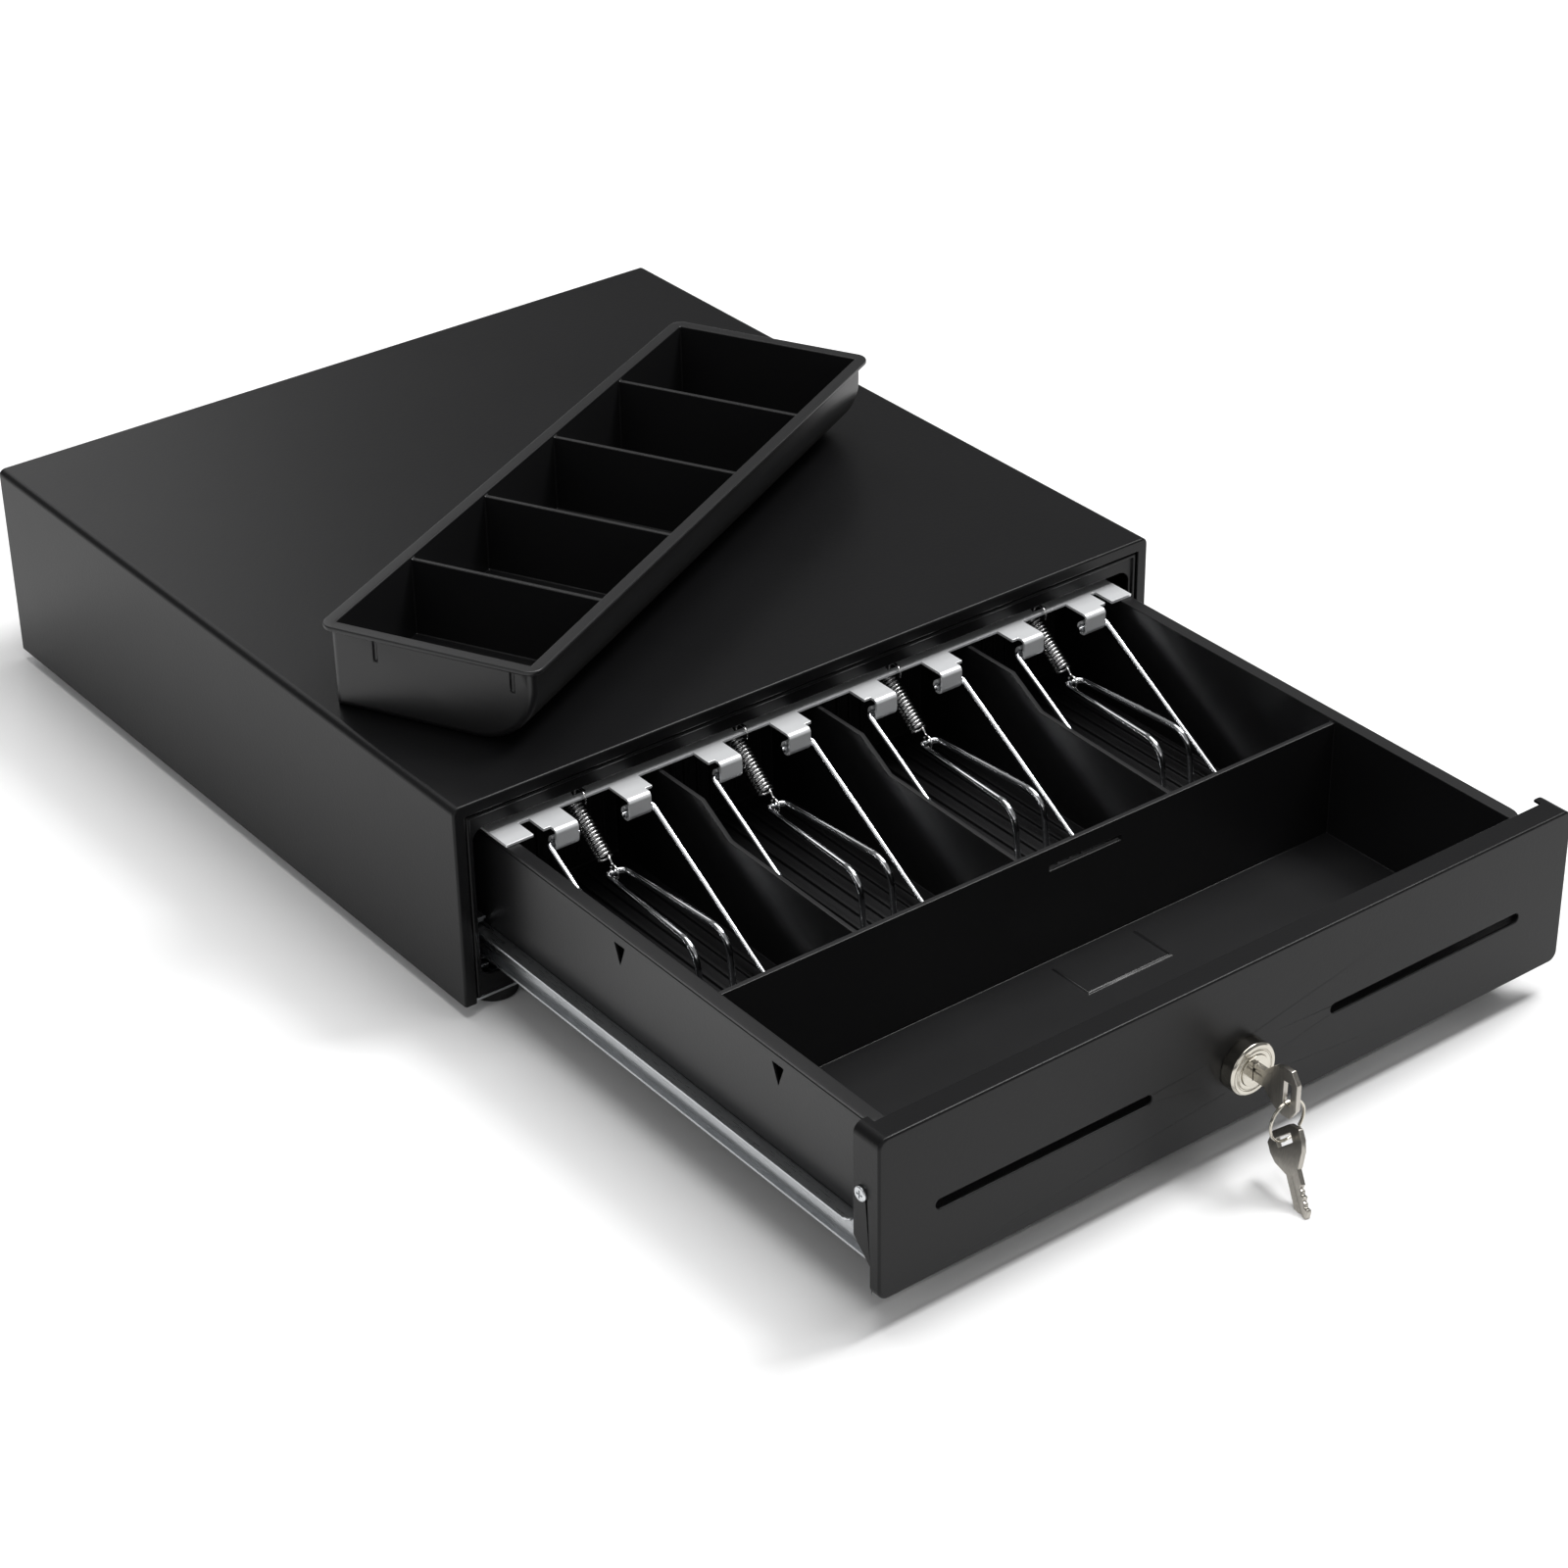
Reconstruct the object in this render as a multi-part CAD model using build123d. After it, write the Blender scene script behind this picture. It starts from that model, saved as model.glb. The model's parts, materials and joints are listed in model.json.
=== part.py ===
from build123d import *
import math
import os

# Counter-top cash drawer, drawn with the drawer pulled out and the loose coin tray lying on the casing.
# Millimetres. +X right, -Y towards the user, +Z up. The origin is on the counter, under the middle of the casing.

# Driving dimensions of the casing
CASE_W = 330.0            # width over the side walls
CASE_D = 344.0            # depth, front lip to rear lip
FOOT_H = 5.0              # height of the rubber feet below the casing
CASE_TOP = 90.0           # height of the lid above the counter
SHEET = 1.2               # thickness of the casing's steel
BEND_R = 3.0              # outside radius of the lid's bends
LIP_W = 5.0               # width of the lip folded inwards round the front
REAR_LIP_W = 10.0         # width of the lip folded inwards round the rear
FIT = 0.2                 # assembly gap between sheets

# Mouth of the casing
MOUTH_HALF = 156.5        # half width of the opening that the drawer runs through
MOUTH_Z = (14.5, 77.3)    # lower and upper edge of the opening
MOUTH_R = 5.0             # corner radius of the opening
BEAD_W = 1.6              # width of the raised bead pressed round the mouth
BEAD_GAP = 0.7            # groove left between the lip and the bead

# Drawer, open
TRAVEL = 219.0            # stroke from open to shut
PANEL_Y = -405.0          # outer face of the front panel when open
PANEL_HALF = 158.5        # half width of the front panel
PANEL_Z = (13.3, 77.8)    # lower and upper edge of the front panel
PANEL_FOLD = 13.5         # depth of the panel's side folds
PANEL_R = 4.0             # corner radius of the panel
TUB_HALF = 149.0          # half width of the steel tub, over its sides
TUB_Y = (-393.0, -112.0)  # front and rear of the tub
TUB_Z = (19.6, 70.7)      # underside and top edge of the tub
TUB_T = 1.0               # thickness of the tub's steel
SLOT_X = (41.5, 135.0)    # inner and outer end of each media slot
SLOT_Z = 41.5             # height of the media slots' centre line
SLOT_H = 4.0              # height of a media slot

# Till insert
TILL_HALF = 143.4         # half width inside the insert
TILL_WALL = 2.0           # wall of the moulding
TILL_Y = (-391.4, -140.0) # outside of the front and rear walls
TILL_Z = (20.7, 72.3)     # underside and rim
CROSS_Y = -300.6          # front face of the wall between coins and notes
CROSS_Z = 71.0            # top of that wall
MARK_W = 0.8              # raised outline on the coin bay's floor
MARK_H = 0.5
BAYS = 4                  # note bays
BAY_PITCH = 74.0          # spacing of the note bays

# Note clips
WIRE_R = 1.2              # radius of the clip wire
PIVOT_Y = -180.85         # line on which the clips turn
PIVOT_Z = 66.75
RAIL_Z = (72.35, 73.5)    # underside and top of the clip rail

# Slides
SLIDE_Z = (19.3, 32.0)    # underside and top of the drawer member
SLIDE_OUT = 154.8         # outer edge of the drawer member's top flange
BALL_R = 1.4
BALL_X = 151.8            # line on which the balls run
RAIL_Y = (-166.0, 134.0)  # ends of the case member
RUNNER_Y = (-395.0, -105.0)  # ends of the drawer member, open
CAGE_Y = (-164.0, -108.0)    # ends of the ball cage, open

# Lock
LOCK_Z = 38.0             # height of the lock's axis
COLLAR_R = 10.25
COLLAR_H = 6.0            # how far the collar stands out of the panel
BARREL_R = 9.3
PLUG_R = 6.0
RUN_FIT = 0.05            # radial clearance of turning parts
CAM_Y = (-387.2, -385.2)  # faces of the lock's cam

# Loose coin tray
TRAY_L = 291.0            # length over the rim
TRAY_W = 91.0             # width over the rim
TRAY_H = 35.0             # height, rim to underside
TRAY_RIM = 3.0            # how far the rim stands out
TRAY_WALL = 2.0
TRAY_POS = (-12.0, -55.0) # centre of the tray on the lid
TRAY_TURN = 27.3          # turned anticlockwise, degrees
COINS = 5                 # compartments

os.makedirs("parts", exist_ok=True)


def block(x0, x1, y0, y1, z0, z1):
    """Rectangular solid between two opposite corners."""
    centre = Pos((x0 + x1) / 2, (y0 + y1) / 2, (z0 + z1) / 2)
    return centre * Box(abs(x1 - x0), abs(y1 - y0), abs(z1 - z0))


TURNS = {"+X": Rot(0, 90, 0), "-X": Rot(0, -90, 0), "+Y": Rot(-90, 0, 0),
         "-Y": Rot(90, 0, 0), "+Z": Rot(0, 0, 0), "-Z": Rot(180, 0, 0)}


def bar(start, way, radius, length):
    """Round bar from a start point along one of the frame's directions."""
    body = Cylinder(radius, length, align=(Align.CENTER, Align.CENTER, Align.MIN))
    return Pos(*start) * TURNS[way] * body


def window(half_or_x, z_pair, radius, y0, y1):
    """Rounded rectangle in the XZ plane, cut from y0 to y1."""
    if isinstance(half_or_x, tuple):
        x0, x1 = half_or_x
    else:
        x0, x1 = -half_or_x, half_or_x
    z0, z1 = z_pair
    outline = RectangleRounded(x1 - x0, z1 - z0, radius)
    face = Plane.XZ * Pos((x0 + x1) / 2, (z0 + z1) / 2) * outline
    return Pos(0, y0, 0) * extrude(face, y1 - y0, dir=(0, 1, 0))


def profile_x(points, x0, x1):
    """Solid from an outline of (y, z) points, running from x0 to x1."""
    face = make_face(Plane.YZ * Polyline(*points, close=True))
    return Pos(x0, 0, 0) * extrude(face, x1 - x0, dir=(1, 0, 0))


def profile_z(points, z0, z1):
    """Solid from an outline of (x, y) points, running from z0 to z1."""
    face = make_face(Polyline(*points, close=True))
    return Pos(0, 0, z0) * extrude(face, z1 - z0, dir=(0, 0, 1))


def bent_wire(points, bends, radius):
    """Round wire along straight runs joined by arcs."""
    path = FilletPolyline(*points, radius=bends)
    return sweep((path ^ 0) * Circle(radius), path=path)


def mirrored(shape):
    """The same shape on the other side of the middle plane."""
    return mirror(shape, about=Plane.YZ)


def pan_screw(start, way, head_r, head_h, shank_r, shank_l):
    """Cross-recessed pan-head screw: start is under the head, way points out of the head."""
    head = Cylinder(head_r, head_h, align=(Align.CENTER, Align.CENTER, Align.MIN))
    head = fillet(head.edges().filter_by(GeomType.CIRCLE).group_by(Axis.Z)[-1], head_h * 0.45)
    for long_x, long_y in ((1.15, 0.26), (0.26, 1.15)):
        head -= Pos(0, 0, head_h) * Box(head_r * long_x, head_r * long_y, head_h)
    shank = Cylinder(shank_r, shank_l, align=(Align.CENTER, Align.CENTER, Align.MAX))
    return Pos(*start) * TURNS[way] * (head + shank)


def save(shape, name):
    """Write one node."""
    export_step(shape, "parts/" + name + ".step")


HALF = CASE_W / 2
FRONT = -CASE_D / 2
REAR = CASE_D / 2
INNER = HALF - SHEET
LID_IN = CASE_TOP - SHEET


# ---------------------------------------------------------------- casing
def top_cover():
    """Lid and both sides bent from one sheet, with lips folded in at the front and the rear."""
    def wrap(half, top, radius, y0, y1):
        solid = block(-half, half, y0, y1, FOOT_H, top)
        return fillet(solid.edges().filter_by(Axis.Y).group_by(Axis.Z)[-1], radius)

    shell = wrap(HALF, CASE_TOP, BEND_R, FRONT, REAR)
    shell -= wrap(INNER, LID_IN, BEND_R - SHEET, FRONT + SHEET, REAR - SHEET)
    shell -= block(-HALF + LIP_W, HALF - LIP_W, FRONT, FRONT + SHEET, FOOT_H, CASE_TOP - LIP_W)
    shell -= block(-HALF + REAR_LIP_W, HALF - REAR_LIP_W, REAR - SHEET, REAR, FOOT_H, CASE_TOP - REAR_LIP_W)
    for x, z in rear_screw_places():
        shell -= bar((x, REAR, z), "-Y", 2.1, SHEET)
    fold = [e for e in shell.edges().filter_by_position(Axis.Y, FRONT - 0.01, FRONT + 0.01)
            if e.center().Z > FOOT_H + 1 and (abs(e.center().X) > HALF - 1.2 or e.center().Z > CASE_TOP - 1.2)]
    return fillet(fold, 1.0)


def rear_screw_places():
    """Screws that hold the cover to the rear panel."""
    side_x = HALF - 6.0
    return [(s * side_x, z) for s in (-1, 1) for z in (26.0, 66.0)]


def front_frame():
    """Flat steel frame behind the lip, with the drawer's mouth and a pressed bead round it."""
    y0 = FRONT + SHEET + FIT
    plate = block(-INNER + FIT, INNER - FIT, y0, y0 + SHEET, FOOT_H + SHEET + FIT, LID_IN - FIT)
    plate = fillet(plate.edges().filter_by(Axis.Y).group_by(Axis.Z)[-1], BEND_R - SHEET)
    out_x = HALF - LIP_W - BEAD_GAP
    out_z = CASE_TOP - LIP_W - BEAD_GAP
    bead = block(-out_x, out_x, y0 - 1.0, y0, FOOT_H + SHEET + FIT, out_z)
    bead -= block(-out_x + BEAD_W, out_x - BEAD_W, y0 - 1.0, y0, FOOT_H, out_z - BEAD_W)
    bead = fillet(bead.edges().filter_by_position(Axis.Y, y0 - 1.01, y0 - 0.99), 0.7)
    frame = plate + bead
    return frame - window(MOUTH_HALF, MOUTH_Z, MOUTH_R, y0 - 2.0, y0 + 2.0)


FOOT_X = 146.0
FOOT_Y = (-161.0, 152.0)
FOOT_R = 9.5
FIX_X = 110.0             # half spacing of the holes for under-counter brackets
FIX_Y = 120.0
FIX_R = 2.25


def foot_places():
    return [(s * FOOT_X, y) for s in (-1, 1) for y in FOOT_Y]


def base_plate():
    """Floor of the casing, with turned-up sides, feet holes and four holes for brackets."""
    wide = INNER - FIT
    y0, y1 = FRONT + 2 * SHEET + 2 * FIT, REAR - 2 * SHEET - 2 * FIT
    plate = block(-wide, wide, FRONT + SHEET + FIT, REAR - SHEET - FIT, FOOT_H, FOOT_H + SHEET)
    for s in (-1, 1):
        plate += block(s * wide, s * (wide - SHEET), y0 + 12, y1 - 12, FOOT_H + SHEET, FOOT_H + 8.8)
    for x, y in foot_places():
        plate -= bar((x, y, FOOT_H), "+Z", 2.1, SHEET)
    for x in (-FIX_X, FIX_X):
        for y in (-FIX_Y, FIX_Y):
            plate -= bar((x, y, FOOT_H), "+Z", FIX_R, SHEET)
    return plate


def rubber_feet():
    """Four moulded rubber feet, each with a counterbore for its screw."""
    feet = []
    for x, y in foot_places():
        foot = bar((x, y, 0), "+Z", FOOT_R, FOOT_H)
        foot = fillet(foot.edges().group_by(Axis.Z)[0], 1.2)
        foot -= bar((x, y, 0), "+Z", 4.4, 2.4)
        foot -= bar((x, y, 0), "+Z", 2.1, FOOT_H)
        feet.append(foot)
    return Compound(feet)


def foot_screws():
    """Screws through the feet into the floor, each with its nut above."""
    screws = []
    for x, y in foot_places():
        screw = pan_screw((x, y, 2.4), "-Z", 3.8, 1.8, 2.0, 8.0)
        nut = Pos(x, y, FOOT_H + SHEET) * extrude(RegularPolygon(3.9, 6), 2.4)
        screws.append(screw + nut)
    return Compound(screws)


SOCKET_X = -112.0
SOCKET_Z = 26.0
SOCKET_HALF = 8.0
SOCKET_H = 7.0


def back_panel():
    """Rear wall of the casing, inside the cover's rear lip."""
    y1 = REAR - SHEET - FIT
    wide = INNER - FIT
    panel = block(-wide, wide, y1 - SHEET, y1, FOOT_H + SHEET + FIT, LID_IN - FIT)
    panel = fillet(panel.edges().filter_by(Axis.Y).group_by(Axis.Z)[-1], BEND_R - SHEET)
    cut = (SOCKET_Z - SOCKET_H, SOCKET_Z + SOCKET_H)
    panel -= block(SOCKET_X - SOCKET_HALF, SOCKET_X + SOCKET_HALF, y1 - SHEET, y1, *cut)
    for x, z in rear_screw_places():
        panel -= bar((x, y1, z), "-Y", 2.0, SHEET)
    for k in range(6):
        x = 60.0 + 8.0 * k
        panel -= block(x, x + 3.0, y1 - SHEET, y1, 52.0, 74.0)
    return panel


def case_screws():
    """Pan-head screws through the rear lip into the rear panel."""
    return Compound([pan_screw((x, REAR, z), "+Y", 3.6, 1.6, 1.95, 6.0) for x, z in rear_screw_places()])


def cable_socket():
    """Moulded modular socket that takes the lead from the printer; its mouth faces the rear."""
    y1 = REAR - SHEET - FIT
    half, tall = SOCKET_HALF - 0.1, SOCKET_H - 0.1
    body = block(SOCKET_X - half, SOCKET_X + half, y1 - 16.0, y1, SOCKET_Z - tall, SOCKET_Z + tall)
    body += block(SOCKET_X - half - 2, SOCKET_X + half + 2, y1, y1 + 1.2, SOCKET_Z - tall - 2, SOCKET_Z + tall + 2)
    body -= block(SOCKET_X - 5.8, SOCKET_X + 5.8, y1 - 12.0, y1 + 1.2, SOCKET_Z - 3.4, SOCKET_Z + 3.4)
    body -= block(SOCKET_X - 3.0, SOCKET_X + 3.0, y1 - 12.0, y1 + 1.2, SOCKET_Z - 5.2, SOCKET_Z - 3.4)
    return body


# ---------------------------------------------------------------- slides, left side; the right is its mirror
OUTER_TOP = SLIDE_Z[1] + 2 * BALL_R + 0.6
OUTER_LOW = SLIDE_Z[0] - 2 * BALL_R - 0.6
BALLS = 5


def slide_outer():
    """Case member: a zinc-plated channel open towards the drawer."""
    x0, x1 = -INNER + 0.1, -BALL_X + 1.5
    y0, y1 = RAIL_Y
    web = block(x0, x0 + SHEET, y0, y1, OUTER_LOW - SHEET, OUTER_TOP + SHEET)
    top = block(x0, x1, y0, y1, OUTER_TOP, OUTER_TOP + SHEET)
    low = block(x0, x1, y0, y1, OUTER_LOW - SHEET, OUTER_LOW)
    return web + top + low


def slide_inner():
    """Drawer member: web on the tub's side, a wide top flange and a narrow lower one."""
    z0, z1 = SLIDE_Z
    y0, y1 = RUNNER_Y
    x1 = -TUB_HALF - 0.05
    web = block(x1 - 1.15, x1, y0, y1, z0, z1)
    top = block(-SLIDE_OUT, x1, y0 + 11.5, y1, z1 - 1.1, z1)
    top = fillet(top.edges().filter_by(Axis.Z).group_by(Axis.Y)[0].sort_by(Axis.X)[0], 3.0)
    low = block(x1 - 3.4, x1, y0, y1, z0, z0 + 1.1)
    return web + top + low


def ball_places():
    pitch = (CAGE_Y[1] - CAGE_Y[0]) / BALLS
    ys = [CAGE_Y[0] + pitch * (k + 0.5) for k in range(BALLS)]
    zs = (SLIDE_Z[1] + BALL_R + 0.3, SLIDE_Z[0] - BALL_R - 0.3)
    return [(-BALL_X, y, z) for z in zs for y in ys]


def slide_cage():
    """Thin strip that spaces the balls; it moves half as far as the drawer."""
    t = 0.6
    high, low = SLIDE_Z[1] + BALL_R + 0.3, SLIDE_Z[0] - BALL_R - 0.3
    x_web = -156.2
    cage = block(x_web, x_web + t, CAGE_Y[0], CAGE_Y[1], low - t / 2, high + t / 2)
    for z in (high, low):
        cage += block(x_web, -BALL_X + 1.8, CAGE_Y[0], CAGE_Y[1], z - t / 2, z + t / 2)
    for x, y, z in ball_places():
        cage -= bar((x, y, z - t), "+Z", BALL_R + 0.1, 2 * t)
    return cage


def slide_balls():
    """Steel balls of one slide."""
    return Compound([Pos(*place) * Sphere(BALL_R) for place in ball_places()])


# ---------------------------------------------------------------- drawer
EAR_Z = (36.0, 70.0)
SIDE_SCREW = (-396.5, 53.0)   # y and z of the screw in each panel fold
LOCK_GAP_X = (-14.0, 34.0)    # room for the cam behind the panel
LOCK_GAP_Z = (22.0, 50.0)


def drawer_tub():
    """Steel tub: floor, walls, pierced tabs in the sides and ears that carry the front panel."""
    y0, y1 = TUB_Y
    z0, z1 = TUB_Z
    t = TUB_T
    tub = block(-TUB_HALF, TUB_HALF, y0, y1, z0, z1)
    tub -= block(-TUB_HALF + t, TUB_HALF - t, y0 + t, y1 - t, z0 + t, z1)
    tub -= block(-TUB_HALF + 12, TUB_HALF - 12, y0, y0 + t, 60.0, z1)
    for y in (-250.0, -340.0):
        tub -= profile_x([(y - 3.2, 67.0), (y + 3.2, 67.0), (y, 58.5)], -TUB_HALF - 1, TUB_HALF + 1)
    tub -= block(LOCK_GAP_X[0], LOCK_GAP_X[1], y0, y0 + t, *LOCK_GAP_Z)
    tub -= block(-7.0, 25.0, CAM_Y[0] - 1.6, CAM_Y[1] + 1.6, z0, z0 + t)
    for s in (-1, 1):
        a, b = SLOT_X[0] - 2, SLOT_X[1] + 2
        tub -= block(s * a, s * b, y0, y0 + t, SLOT_Z - 4, SLOT_Z + 4)
        out = PANEL_HALF - SHEET - 0.1
        tub += block(s * TUB_HALF, s * out, y0, y0 + t, *EAR_Z)
        tub += block(s * out, s * (out - t), PANEL_Y + SHEET + 1.0, y0 + t, *EAR_Z)
        tub -= bar((s * (out + 1), *SIDE_SCREW), "-X" if s > 0 else "+X", 2.0, 4.0)
    return tub


def front_panel():
    """Painted steel pan: face with two media slots and the lock's hole, folded back all round."""
    z0, z1 = PANEL_Z
    y1 = PANEL_Y + PANEL_FOLD
    t = SHEET
    pan = window(PANEL_HALF, PANEL_Z, PANEL_R, PANEL_Y, y1)
    pan = fillet(pan.faces().sort_by(Axis.Y)[0].edges(), 1.0)
    pan -= window(PANEL_HALF - t, (z0 + t, z1 - t), PANEL_R - t, PANEL_Y + t, y1)
    pan -= block(-PANEL_HALF + 6, PANEL_HALF - 6, PANEL_Y + 10.0, y1, z1 - 5, z1)
    pan -= block(-PANEL_HALF + 6, PANEL_HALF - 6, PANEL_Y + 8.0, y1, z0, z0 + 5)
    notch = [(y1, z0 - 1), (y1, 33.7), (y1 - 8.4, 25.4), (y1 - 8.4, z0 - 1)]
    pan -= profile_x(notch, -PANEL_HALF - 1, PANEL_HALF + 1)
    for s in (-1, 1):
        mid = s * (SLOT_X[0] + SLOT_X[1]) / 2
        outline = Plane.XZ * Pos(mid, SLOT_Z) * SlotOverall(SLOT_X[1] - SLOT_X[0], SLOT_H)
        pan -= Pos(0, PANEL_Y - 1, 0) * extrude(outline, 4, dir=(0, 1, 0))
        pan -= bar((s * (PANEL_HALF + 1), *SIDE_SCREW), "-X" if s > 0 else "+X", 2.1, 3.0)
    pan -= bar((0, PANEL_Y - 1, LOCK_Z), "+Y", BARREL_R + RUN_FIT, 4.0)
    return pan


def panel_screws():
    """One pan-head screw through each fold of the panel into the tub's ears."""
    screws = []
    for s in (-1, 1):
        way = "+X" if s > 0 else "-X"
        screws.append(pan_screw((s * PANEL_HALF, *SIDE_SCREW), way, 2.8, 1.4, 1.9, 5.0))
    return Compound(screws)


# ---------------------------------------------------------------- till insert
RIB_PITCH = 6.0
STEP_Y = (-214.0, -197.0)  # foot and head of the slope on each divider
STEP_Z = (61.0, 71.6)      # low and high level of the dividers


def bay_centres():
    return [(k - (BAYS - 1) / 2) * BAY_PITCH for k in range(BAYS)]


def till_insert():
    """Moulded insert: four ribbed note bays with stepped dividers and one open coin bay."""
    y0, y1 = TILL_Y
    z0, z1 = TILL_Z
    w = TILL_WALL
    floor = z0 + w
    out = TILL_HALF + w
    body = block(-out, out, y0, y1, z0, z1)
    rim = block(-TUB_HALF, TUB_HALF, TUB_Y[0], y1, z1 - 1.5, z1)
    rim = fillet(rim.edges().filter_by(Axis.Z).group_by(Axis.Y)[0], 8.0)
    body += rim
    for s in (-1, 1):
        a, b = RAIL_TAB_Y
        body -= block(s * (RAIL_TAB_X - 0.2), s * (RAIL_TAB_X + 1.3), a - 0.2, b + 0.2, z1 - 2.0, z1)
    body -= block(-TILL_HALF, TILL_HALF, y0 + w, CROSS_Y, floor, z1)
    body -= block(-TILL_HALF, TILL_HALF, CROSS_Y + w + 0.2, y1 - w, floor, z1)
    body -= block(-TILL_HALF, TILL_HALF, CROSS_Y, CROSS_Y + w + 0.2, CROSS_Z, z1)
    body -= block(3.0, 37.0, CROSS_Y - 1, CROSS_Y + w + 1, 61.4, 63.6)
    mark_y = (CROSS_Y - 25.0, CROSS_Y - 5.0)
    body += block(1.0, 41.0, mark_y[0], mark_y[0] + MARK_W, floor, floor + MARK_H)
    for x in (1.0, 41.0 - MARK_W):
        body += block(x, x + MARK_W, *mark_y, floor, floor + MARK_H)
    line = [(CROSS_Y + w, floor - 0.5), (CROSS_Y + w, STEP_Z[0] - 1.0), (STEP_Y[0], STEP_Z[0] + 1.0),
            (STEP_Y[1], STEP_Z[1]), (y1 - w / 2, STEP_Z[1]), (y1 - w / 2, floor - 0.5)]
    for k in range(1, BAYS):
        x = (k - BAYS / 2) * BAY_PITCH
        body += profile_x(line, x - 1.0, x + 1.0)
    for centre in bay_centres():
        for k in range(-5, 6):
            x = centre + k * RIB_PITCH
            body += block(x - 1.1, x + 1.1, CROSS_Y + w + 8, y1 - w - 4, floor - 0.5, floor + 1.2)
            body += block(x - 0.9, x + 0.9, y1 - w - 1.2, y1 - w + 0.5, floor + 6, z1 - 8)
    gap_y = CAM_Y[1] + 2.4
    body += block(LOCK_GAP_X[0] - w, LOCK_GAP_X[1] + w, y0 + w - 0.5, gap_y + w, floor - 0.5, LOCK_GAP_Z[1] + w)
    body -= block(LOCK_GAP_X[0], LOCK_GAP_X[1], y0, gap_y, z0, LOCK_GAP_Z[1])
    return body


# ---------------------------------------------------------------- note clips
RAIL_BACK = -148.0
RAIL_FRONT = -170.7
HOOK_FACE = -183.7        # front face of the hooks
HOOK_IN = 11.1            # hooks' inner and outer edges, from the bay's middle
HOOK_OUT = 21.0
RAIL_TAB_X = 146.1        # tabs that hold the rail in the insert's rim
RAIL_TAB_Y = (-165.0, -152.0)
HOOK_ROOT = 24.0          # outer edge where the hook leaves the rail
EYE_R = WIRE_R + 0.08     # inside of the curl that the wire turns in


def hook(x0, x1):
    """Tab bent forward and down, then curled back round the clip's wire."""
    z0, z1 = RAIL_Z
    t = z1 - z0
    bend_r, curl_r = 2.0, PIVOT_Y - HOOK_FACE
    hooked = block(x0, x1, HOOK_FACE + bend_r, RAIL_FRONT + 0.5, z0, z1)
    hooked += block(x0, x1, HOOK_FACE, HOOK_FACE + t, PIVOT_Z, z1 - bend_r)
    bend = bar((x0, HOOK_FACE + bend_r, z1 - bend_r), "+X", bend_r, x1 - x0)
    bend -= bar((x0, HOOK_FACE + bend_r, z1 - bend_r), "+X", bend_r - t, x1 - x0)
    hooked += bend & block(x0, x1, HOOK_FACE, HOOK_FACE + bend_r, z1 - bend_r, z1)
    curl = bar((x0, PIVOT_Y, PIVOT_Z), "+X", curl_r, x1 - x0)
    curl -= bar((x0, PIVOT_Y, PIVOT_Z), "+X", curl_r - t, x1 - x0)
    return hooked + (curl - block(x0, x1, HOOK_FACE, PIVOT_Y, PIVOT_Z, PIVOT_Z + curl_r))


def tongue(x0, x1, y, length):
    """Tongue lanced out of the rail and bent down towards the front."""
    z0, z1 = RAIL_Z
    drop = length * 0.45
    return profile_x([(y, z1), (y + 0.3, z0), (y - length + 0.4, z0 - drop), (y - length, z1 - drop)], x0, x1)


CLIP_PITCH = 73.5
CLIP_SHIFT = 1.8          # the hooks sit slightly to the right of the bays' middles


def clip_centres():
    return [(k - (BAYS - 1) / 2) * CLIP_PITCH + CLIP_SHIFT for k in range(BAYS)]


def clip_rail():
    """Zinc-plated rail across the note bays, with eight curled hooks, anchor holes and end tabs."""
    z0, z1 = RAIL_Z
    rail = block(-TUB_HALF, TUB_HALF, RAIL_FRONT, RAIL_BACK, z0, z1)
    for s in (-1, 1):
        rail += block(s * 138.0 + 0.8, s * TUB_HALF, -180.8, RAIL_FRONT, z0, z1)
        rail += block(s * RAIL_TAB_X, s * (RAIL_TAB_X + 1.1), *RAIL_TAB_Y, z0 - 12.0, z0)
    for centre in clip_centres():
        for s in (-1, 1):
            a, b = sorted((centre + s * HOOK_IN, centre + s * HOOK_OUT))
            rail += hook(a, b)
            a, b = sorted((centre + s * HOOK_IN, centre + s * HOOK_ROOT))
            rail += block(a, b, RAIL_FRONT - 9.2, RAIL_FRONT, z0, z1)
        rail -= block(centre - 4.0, centre + 4.0, -167.8, -161.2, z0 - 1, z1)
        rail += tongue(centre - 3.9, centre - 0.9, -161.2, 4.0)
    for k in range(1, BAYS):
        x = (k - BAYS / 2) * CLIP_PITCH + CLIP_SHIFT
        for s in (-1, 1):
            a, b = sorted((x + s * 2.6, x + s * 9.4))
            rail -= block(a, b, -163.0, -160.4, z0, z1)
            rail += tongue(a, b, -160.4, 2.2)
    return rail


ARM_X = 22.8              # clip arms, from the bay's middle
LOOP_X = 7.0              # loops where they rise from the floor
APEX_X = 4.0              # loops where the spring pulls
CLIP_FOOT = (-251.0, 25.6)
LOOP_TOP = (-248.3, 51.4)
APEX = (-188.7, 50.0)
CLIP_BENDS = [1.7, 2.9, 2.9, 10.0, 2.9]


def bill_clip(centre):
    """Chromed wire clip: ends turn in the hooks, arms press at the front, loops run back to the spring."""
    half = [(centre + HOOK_IN - 1.5, PIVOT_Y, PIVOT_Z),
            (centre + ARM_X, PIVOT_Y, PIVOT_Z),
            (centre + ARM_X, *CLIP_FOOT),
            (centre + LOOP_X, *CLIP_FOOT),
            (centre + LOOP_X, *LOOP_TOP),
            (centre + APEX_X, *APEX)]
    other = [(2 * centre - x, y, z) for x, y, z in reversed(half)]
    return bent_wire(half + other, CLIP_BENDS + CLIP_BENDS[::-1], WIRE_R)


SPRING_R = 3.15
SPRING_WIRE = 0.45


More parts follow.
